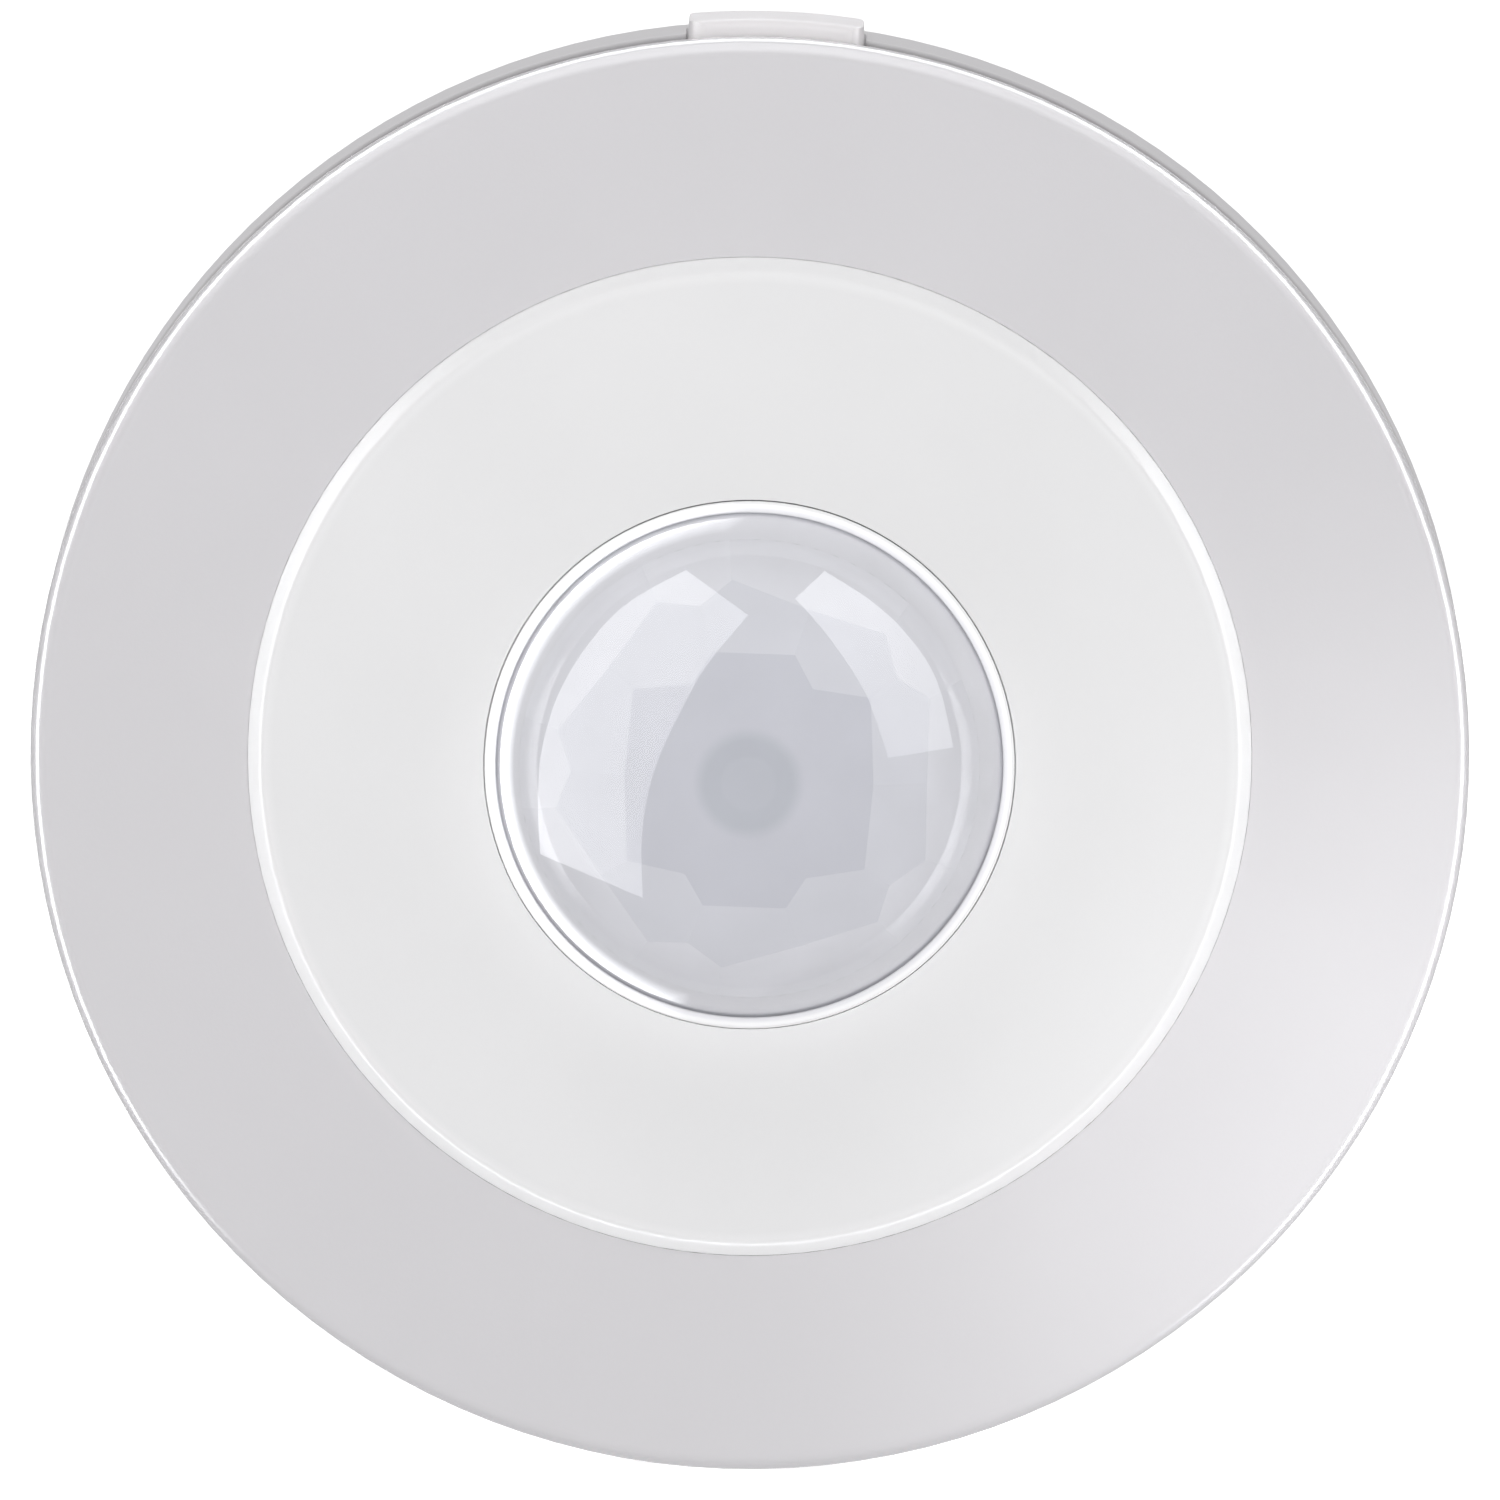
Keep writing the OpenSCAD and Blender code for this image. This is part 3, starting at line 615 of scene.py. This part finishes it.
def make_facets():
    """The moulded facets on the inside of the dome: flat ones keep one shading direction each."""
    rng = random.Random(FACET_SEED)
    centre = Vector((0, DOME_CENTRE_Y, 0))
    lean = Vector((0, -FACET_LEAN, 0))
    points, faces, tones, normals = [], [], [], []
    for band, corners in lens_facets():
        ring = [on_sphere(facet_radius(polar), polar, turn) for polar, turn in corners]
        if newell_normal(ring).dot(ring[0] - centre) < 0:
            ring.reverse()
            corners = corners[::-1]
        flat = band in ("middle", "outer")
        shade = 1 + (rng.uniform(-FACET_SWING, FACET_SWING) if flat else 0)
        middle = (sum(ring, Vector()) / len(ring) - centre).normalized()
        faces.append(list(range(len(points), len(points) + len(ring))))
        points += ring
        for point, (polar, turn) in zip(ring, corners):
            facing = middle if flat else (point - centre).normalized()
            normals.append((facing + lean).normalized())
            tones.append(corner_tone(band, polar, shade))
    mesh = bpy.data.meshes.new("dome_facets")
    mesh.from_pydata([tuple(p) for p in points], [], faces)
    attribute = mesh.attributes.new("facet_tone", "FLOAT_COLOR", "POINT")
    for i, tone in enumerate(tones):
        attribute.data[i].color = (*tone, 1.0)
    for polygon in mesh.polygons:
        polygon.use_smooth = True
    mesh.normals_split_custom_set([tuple(n) for n in normals])
    mesh.materials.append(lens_inside_material())
    facets = add_object("dome_facets", mesh)
    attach(facets, "detector")


def make_dome_skin():
    """The smooth outside of the dome, its flange and the back of the flange."""
    profile = [(LENS_INNER_R * math.sin(math.radians(SKIRT_FOOT)), FLANGE_BACK_Y),
               (FLANGE_R, FLANGE_BACK_Y), (FLANGE_R, FLANGE_FRONT_Y)]
    profile.append((math.sqrt(DOME_R ** 2 - (FLANGE_FRONT_Y - DOME_CENTRE_Y) ** 2), FLANGE_FRONT_Y))
    for polar in range(SKIN_FOOT, 0, -SKIN_RING_STEP):
        angle = math.radians(polar)
        profile.append((DOME_R * math.sin(angle), DOME_CENTRE_Y - DOME_R * math.cos(angle)))
    work = bmesh.new()
    turns = [2 * math.pi * k / SKIN_STEPS for k in range(SKIN_STEPS)]
    rings = [[work.verts.new((radius * math.cos(turn), y, radius * math.sin(turn))) for turn in turns]
             for radius, y in profile]
    tip = work.verts.new((0, DOME_TIP_Y, 0))
    for a, b in zip(rings, rings[1:]):
        for k in range(SKIN_STEPS):
            n = (k + 1) % SKIN_STEPS
            work.faces.new((a[n], b[n], b[k], a[k]))
    for k in range(SKIN_STEPS):
        work.faces.new((rings[-1][(k + 1) % SKIN_STEPS], tip, rings[-1][k]))
    for face in work.faces:
        face.smooth = True
    mesh = bpy.data.meshes.new("dome_skin")
    work.to_mesh(mesh)
    work.free()
    mesh.set_sharp_from_angle(angle=SKIN_SHARP_ANGLE)
    mesh.materials.append(lens_skin_material())
    skin = add_object("dome_skin", mesh)
    skin.visible_shadow = False
    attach(skin, "detector")
    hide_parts("dome_lens")


# ---- Springs: coils in place of the CAD springs of the release tab and the tamper plunger ----

COIL_SIDES = 8
COIL_STEPS_PER_TURN = 24
COIL_TURNS = 3.5
# How much slower a coil climbs at its ends than at its middle, from 0 to 1
COIL_END_REST = 0.6
LATCH_WIRE_R = 0.14 * MM
TAMPER_WIRE_R = 0.13 * MM
COIL_SHARP_ANGLE = math.radians(50)


def coil(radius, length, wire):
    """Rings of points round the wire of a coil that climbs +Z from the origin, with flat end turns."""
    steps = round(COIL_TURNS * COIL_STEPS_PER_TURN)
    climb = length - 2 * wire
    rings = []
    for i in range(steps + 1):
        share = i / steps
        turn = 2 * math.pi * COIL_TURNS * share
        height = wire + climb * (share - math.sin(2 * math.pi * share) / (2 * math.pi) * COIL_END_REST)
        out = Vector((math.cos(turn), math.sin(turn), 0))
        rings.append([
            out * (radius + wire * math.cos(2 * math.pi * j / COIL_SIDES))
            + Vector((0, 0, height + wire * math.sin(2 * math.pi * j / COIL_SIDES)))
            for j in range(COIL_SIDES)])
    return rings


def spring_piece(name, node, places, matrix, size):
    """One object of equal coils of a size, each moved to its place after matrix turns +Z along its
    axis."""
    points, faces = [], []
    for place in places:
        rings = coil(*size)
        first = len(points)
        for ring in rings:
            points += [tuple(place + matrix @ p) for p in ring]
        for i in range(len(rings) - 1):
            for j in range(COIL_SIDES):
                k = (j + 1) % COIL_SIDES
                a, b = first + i * COIL_SIDES, first + (i + 1) * COIL_SIDES
                faces.append((a + j, b + j, b + k, a + k))
        faces.append([first + j for j in range(COIL_SIDES)])
        faces.append([first + (len(rings) - 1) * COIL_SIDES + j for j in reversed(range(COIL_SIDES))])
    mesh = bpy.data.meshes.new(name)
    mesh.from_pydata(points, [], faces)
    for polygon in mesh.polygons:
        polygon.use_smooth = True
    mesh.set_sharp_from_angle(angle=COIL_SHARP_ANGLE)
    mesh.materials.append(metal(name + "_look", *METALS["spring_wire"]))
    piece = add_object(name, mesh)
    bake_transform(piece)
    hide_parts(node)


def make_springs():
    """The pair behind the release tab, and the one behind the tamper plunger."""
    low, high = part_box("latch_springs")
    radius = (high.y - low.y) / 2 - LATCH_WIRE_R
    middle = (low.y + high.y) / 2
    away = high.x - radius - LATCH_WIRE_R
    spring_piece("latch_coils", "latch_springs",
                 [Vector((side * away, middle, low.z)) for side in (-1, 1)],
                 Matrix.Identity(3), (radius, high.z - low.z, LATCH_WIRE_R))
    low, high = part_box("tamper_spring")
    radius = (high.x - low.x) / 2 - TAMPER_WIRE_R
    centre = (low + high) / 2
    spring_piece("tamper_coil", "tamper_spring",
                 [Vector((centre.x, low.y, centre.z))],
                 Matrix.Rotation(-math.pi / 2, 3, "X"), (radius, high.y - low.y, TAMPER_WIRE_R))


# ---- Stage: pale floor, soft lights, and glowing cards that only show as mirror images ----

FLOOR_HALF = 6.0
FLOOR_COLOUR = (0.93, 0.93, 0.93)
FLOOR_ROUGHNESS = 0.25
FLOOR_GLOW = 0.68
ROOM_COLOUR = (0.99, 0.985, 1.0)
# Brightness of the room below and above the horizon; it turns from one to the other over ROOM_FADE
ROOM_BELOW = 0.76
ROOM_ABOVE = 0.44
ROOM_FADE = 0.3
LIGHT_DISTANCE = 1.2
SPOT_PLACE = Vector((0.17, -0.6, 0.0))
SPOT_TARGET = Vector((0.060, 0, -0.034))
SPOT_ANGLE = math.radians(11)
SPOT_SOFTNESS = 0.02

# Pieces that mirror each card; one of the spot lamps lights only COVER_MIRRORS too
DOME_MIRRORS = ("dome_skin",)
RIM_MIRRORS = ("front_cover", "release_tab")
COVER_MIRRORS = ("front_cover",)
BEZEL_MIRRORS = ("center_bezel",)
RING_MIRRORS = ("lens_ring",)
STRIP_MIRRORS = ("dome_skin", "lens_ring")
CARD_COLOUR = (0.97, 0.98, 1.0)

# Wide box on the left and narrow box on the right. Their edges run from top to bottom over the
# dome's disc, in dome radii, and their glow is given at the top and at the foot
SOFTBOX_REACH = 30 * MM
SOFTBOX_STEPS = 16
NEAREST_CARD_Y = COVER_FACE_Y - 7.5 * MM
LEFT_BOX_OUTER = [(-0.242, 0.714), (-0.50, 0.56), (-0.70, 0.30), (-0.79, 0.04), (-0.806, -0.17),
                  (-0.798, -0.368)]
LEFT_BOX_INNER = [(-0.006, 0.542), (-0.16, 0.355), (-0.28, 0.145), (-0.37, -0.07), (-0.41, -0.29),
                  (-0.407, -0.533)]
LEFT_BOX_GLOW = (4.9, 4.4)
RIGHT_BOX_INNER = [(0.172, 0.606), (0.28, 0.485), (0.375, 0.355), (0.452, 0.218), (0.528, 0.0)]
RIGHT_BOX_OUTER = [(0.285, 0.71), (0.458, 0.60), (0.598, 0.47), (0.712, 0.294), (0.776, 0.039)]
RIGHT_BOX_GLOW = (5.4, 3.0)

# Band round the object: angles off the optical axis in degrees, beside the object and above it
EDGE_GLOW = 12.0
EDGE_GLOW_SPAN = ((64, 112), (84, 150))
EDGE_GLOW_FOOT = math.radians(267)
# Cosine of the turn from the foot where the band starts to dim, and how far it fades from there
EDGE_GLOW_DIMMED = 0.82
EDGE_GLOW_FADE = 0.25
# Cards that cover one another hide one another, so each keeps its own distance from the object
RIM_GLOW_REACH = 1.0
BEZEL_GLOW_REACH = 1.1
ROOF_GLOW_REACH = 0.9
ROOF_GLOW = 2.8
ROOF_GLOW_TURNS = (15, 170)
# Angle off the optical axis, in degrees, and the glow's level there
ROOF_GLOW_BAND = ((22, 0.0), (50, 1.0), (100, 1.0))
RING_GLOW = 2.5
RING_GLOW_HALF = 0.3
RIM_STRIP_GLOW = 10.0
RIM_STRIP_R = (19.3 * MM, 21.8 * MM)
RIM_STRIP_TURNS = (92, 258)
RIM_STRIP_Y = COVER_FACE_Y - 6.2 * MM


def make_floor():
    mesh = bpy.data.meshes.new("floor")
    mesh.from_pydata([(-FLOOR_HALF, -FLOOR_HALF, FLOOR_Z), (FLOOR_HALF, -FLOOR_HALF, FLOOR_Z),
                      (FLOOR_HALF, FLOOR_HALF, FLOOR_Z), (-FLOOR_HALF, FLOOR_HALF, FLOOR_Z)],
                     [], [(0, 1, 2, 3)])
    floor = add_object("floor", mesh)
    material, nodes, links = new_material("floor_look")
    shader = principled(nodes, links)
    shader.inputs["Base Color"].default_value = (*FLOOR_COLOUR, 1)
    shader.inputs["Roughness"].default_value = FLOOR_ROUGHNESS
    shader.inputs["Emission Color"].default_value = (1, 1, 1, 1)
    shader.inputs["Emission Strength"].default_value = FLOOR_GLOW
    mesh.materials.append(material)
    floor.visible_diffuse = False
    floor.visible_glossy = False


def make_room():
    """Even light from all round, a little brighter below the horizon, as over a white table."""
    world = bpy.data.worlds.new("studio")
    bpy.context.scene.world = world
    world.use_nodes = True
    nodes, links = world.node_tree.nodes, world.node_tree.links
    sky = nodes["Background"]
    sky.inputs["Color"].default_value = (*ROOM_COLOUR, 1)
    coords = nodes.new("ShaderNodeTexCoord")
    split = nodes.new("ShaderNodeSeparateXYZ")
    links.new(coords.outputs["Generated"], split.inputs["Vector"])
    level = nodes.new("ShaderNodeMapRange")
    level.inputs["From Min"].default_value = -ROOM_FADE
    level.inputs["From Max"].default_value = ROOM_FADE
    level.inputs["To Min"].default_value = ROOM_BELOW
    level.inputs["To Max"].default_value = ROOM_ABOVE
    links.new(split.outputs["Z"], level.inputs["Value"])
    links.new(level.outputs["Result"], sky.inputs["Strength"])


def place_light(name, data, place, towards):
    """A light that shines along a direction, and doesn't show as a reflection itself."""
    light = add_object(name, data)
    light.location = place
    light.rotation_euler = towards.to_track_quat("-Z", "Y").to_euler()
    light.visible_glossy = False
    return light


def area_light(name, azimuth, elevation, side, power):
    """A soft square light aimed at the object."""
    data = bpy.data.lights.new(name, "AREA")
    data.shape = "RECTANGLE"
    data.size = data.size_y = side
    data.energy = power
    back = direction(math.radians(azimuth), math.radians(elevation))
    place_light(name, data, back * LIGHT_DISTANCE, -back)


def spot_light(name, power, lit=None):
    """A soft pool of light at the lower right; lit names the only pieces that it falls on."""
    data = bpy.data.lights.new(name, "SPOT")
    data.energy = power
    data.spot_size = SPOT_ANGLE
    data.spot_blend = 1.0
    data.shadow_soft_size = SPOT_SOFTNESS
    light = place_light(name, data, SPOT_PLACE, SPOT_TARGET - SPOT_PLACE)
    if lit is not None:
        light.light_linking.receiver_collection = group_of(lit)


def group_of(names):
    """The collection of the named pieces, for lights and cards that only they receive."""
    title = "mirrors_" + "_".join(names)
    group = bpy.data.collections.get(title)
    if group is None:
        group = bpy.data.collections.new(title)
        for name in names:
            group.objects.link(bpy.data.objects[name] if name == "dome_skin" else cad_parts[name])
    return group


def glow_card(name, shown_on, verts, faces, strength, fade):
    """A glowing, see-through surface that shows only as a reflection on the named pieces; fade holds
    a level per vertex, and strength multiplies it."""
    mesh = bpy.data.meshes.new(name)
    mesh.from_pydata(verts, [], faces)
    card = add_object(name, mesh)
    material, nodes, links = new_material(name + "_glow")
    glow = nodes.new("ShaderNodeEmission")
    glow.inputs["Color"].default_value = (*CARD_COLOUR, 1)
    level = mesh.attributes.new("glow", "FLOAT", "POINT")
    for i, value in enumerate(fade):
        level.data[i].value = value * strength
    read = nodes.new("ShaderNodeAttribute")
    read.attribute_name = "glow"
    links.new(read.outputs["Fac"], glow.inputs["Strength"])
    clear = nodes.new("ShaderNodeBsdfTransparent")
    both = nodes.new("ShaderNodeAddShader")
    out = nodes.new("ShaderNodeOutputMaterial")
    links.new(glow.outputs["Emission"], both.inputs[0])
    links.new(clear.outputs["BSDF"], both.inputs[1])
    links.new(both.outputs["Shader"], out.inputs["Surface"])
    mesh.materials.append(material)
    material.cycles.emission_sampling = "NONE"
    card.light_linking.receiver_collection = group_of(shown_on)
    card.visible_camera = False
    card.visible_diffuse = False
    card.visible_shadow = False


def strip_faces(rows, steps):
    """Faces of a strip whose points come row by row, with steps + 1 points in a row."""
    wide = steps + 1
    return [(j * wide + i, j * wide + i + 1, (j + 1) * wide + i + 1, (j + 1) * wide + i)
            for j in range(rows - 1) for i in range(steps)]


def mirrored(x, z):
    """A point in the room that shows at x, z on the dome's disc, in dome radii as the camera sees it:
    SOFTBOX_REACH away from the dome, or nearer where the sight line would run into the bezel."""
    depth = math.sqrt(1 - x * x - z * z)
    facing = Vector((x, -depth, z))
    leaving = Vector((2 * depth * x, 1 - 2 * depth * depth, 2 * depth * z))
    turned = Matrix.Rotation(-VIEW_ELEVATION, 3, "X") @ Matrix.Rotation(-VIEW_ROLL, 3, "Y")
    start = Vector((0, DOME_CENTRE_Y, 0)) + DOME_R * (turned @ facing)
    leaving = turned @ leaving
    reach = SOFTBOX_REACH
    if leaving.y > 0:
        reach = min(reach, (NEAREST_CARD_Y - start.y) / leaving.y)
    return start + reach * leaving


def along(points, count=20):
    """A smooth run of points through the given ones, so a card's edge is a curve."""
    out = []
    spans = len(points) - 1
    for i in range(count + 1):
        s = i / count * spans
        k = min(int(s), spans - 1)
        t = s - k
        p0 = points[max(k - 1, 0)]
        p1, p2 = points[k], points[k + 1]
        p3 = points[min(k + 2, spans)]
        out.append(tuple(
            0.5 * (2 * b + (c - a) * t + (2 * a - 5 * b + 4 * c - d) * t * t
                   + (3 * b - a - 3 * c + d) * t ** 3)
            for a, b, c, d in zip(p0, p1, p2, p3)))
    return out


def softbox(name, left, right, levels):
    """A glowing curved card whose mirror image on the dome lies between two edges; levels holds its
    glow at the top and at the foot."""
    left, right = along(left), along(right)
    verts = []
    for (lx, lz), (rx, rz) in zip(left, right):
        for i in range(SOFTBOX_STEPS + 1):
            t = i / SOFTBOX_STEPS
            verts.append(tuple(mirrored(lx + (rx - lx) * t, lz + (rz - lz) * t)))
    fade = [levels[0] + (levels[1] - levels[0]) * (i // (SOFTBOX_STEPS + 1)) / (len(left) - 1)
            for i in range(len(verts))]
    glow_card(name, DOME_MIRRORS, verts, strip_faces(len(left), SOFTBOX_STEPS), 1.0, fade)


def edge_glow(name, shown_on, reach, above, foot):
    """A bright band of room round the object that rolled edges mirror as a fine line: beside the
    object at the sides and behind it above. above, foot: its level there, as a share of the sides'."""
    turns = 72
    verts, fade = [], []
    for beside, behind in EDGE_GLOW_SPAN:
        for k in range(turns):
            turn = 2 * math.pi * k / turns
            up = max(0, math.sin(turn)) ** 2
            off = math.radians(beside + (behind - beside) * up)
            verts.append((reach * math.sin(off) * math.cos(turn), -reach * math.cos(off),
                          reach * math.sin(off) * math.sin(turn)))
            away = (EDGE_GLOW_DIMMED - math.cos(turn - EDGE_GLOW_FOOT)) / EDGE_GLOW_FADE
            away = min(1, max(0, away))
            fade.append((foot + (1 - foot) * away) * (1 + (above - 1) * up))
    faces = [(k, (k + 1) % turns, turns + (k + 1) % turns, turns + k) for k in range(turns)]
    glow_card(name, shown_on, verts, faces, EDGE_GLOW, fade)


def roof_glow():
    """A soft band of room above the object, which the rim's rolled edge mirrors along its top."""
    steps = 40
    first, last = ROOF_GLOW_TURNS
    verts, fade = [], []
    for off, level in ROOF_GLOW_BAND:
        out, front = math.sin(math.radians(off)), math.cos(math.radians(off))
        for k in range(steps + 1):
            turn = math.radians(first + (last - first) * k / steps)
            towards = Vector((out * math.cos(turn), -front, out * math.sin(turn)))
            verts.append(tuple(ROOF_GLOW_REACH * towards))
            fade.append(level * math.sin(math.pi * k / steps))
    glow_card("roof_glow", COVER_MIRRORS, verts, strip_faces(len(ROOF_GLOW_BAND), steps), ROOF_GLOW, fade)


def ring_glow():
    """A square in front of the object, a little low, where the lens ring's flat face mirrors it."""
    centre = direction(0, -VIEW_ELEVATION)
    corners = ((-1, -1), (1, -1), (1, 1), (-1, 1))
    verts = [tuple(centre + Vector((RING_GLOW_HALF * x, 0, RING_GLOW_HALF * z))) for x, z in corners]
    glow_card("ring_glow", RING_MIRRORS, verts, [(0, 1, 2, 3)], RING_GLOW, [1.0] * len(verts))


def rim_strip():
    """A curved strip close to the left of the lens, mirrored by the dome's edge; it fades outwards
    and towards its ends."""
    steps = 28
    first, last = RIM_STRIP_TURNS
    verts, fade = [], []
    for level, radius in zip((1.0, 0.0), RIM_STRIP_R):
        for k in range(steps + 1):
            turn = math.radians(first + (last - first) * k / steps)
            verts.append((radius * math.cos(turn), RIM_STRIP_Y, radius * math.sin(turn)))
            fade.append(level * math.sin(math.pi * k / steps) ** 0.5)
    glow_card("rim_strip", STRIP_MIRRORS, verts, strip_faces(len(RIM_STRIP_R), steps), RIM_STRIP_GLOW, fade)


def make_lights():
    make_room()
    softbox("softbox_left", LEFT_BOX_OUTER, LEFT_BOX_INNER, LEFT_BOX_GLOW)
    softbox("softbox_right", RIGHT_BOX_INNER, RIGHT_BOX_OUTER, RIGHT_BOX_GLOW)
    edge_glow("rim_glow", RIM_MIRRORS, RIM_GLOW_REACH, above=0.3, foot=0.0)
    edge_glow("bezel_glow", BEZEL_MIRRORS, BEZEL_GLOW_REACH, above=0.55, foot=1.0)
    roof_glow()
    ring_glow()
    rim_strip()
    area_light("fill_top", azimuth=-14, elevation=48, side=0.7, power=3.2)
    spot_light("key_right", power=2.2)
    spot_light("cover_right", power=2.8, lit=COVER_MIRRORS)
    area_light("key_front", azimuth=4, elevation=10, side=0.5, power=3.7)


def main():
    scene = bpy.context.scene
    scene.view_settings.view_transform = "Standard"
    make_camera()
    dress_cad_nodes()
    make_facets()
    make_dome_skin()
    make_springs()
    make_floor()
    make_lights()


main()
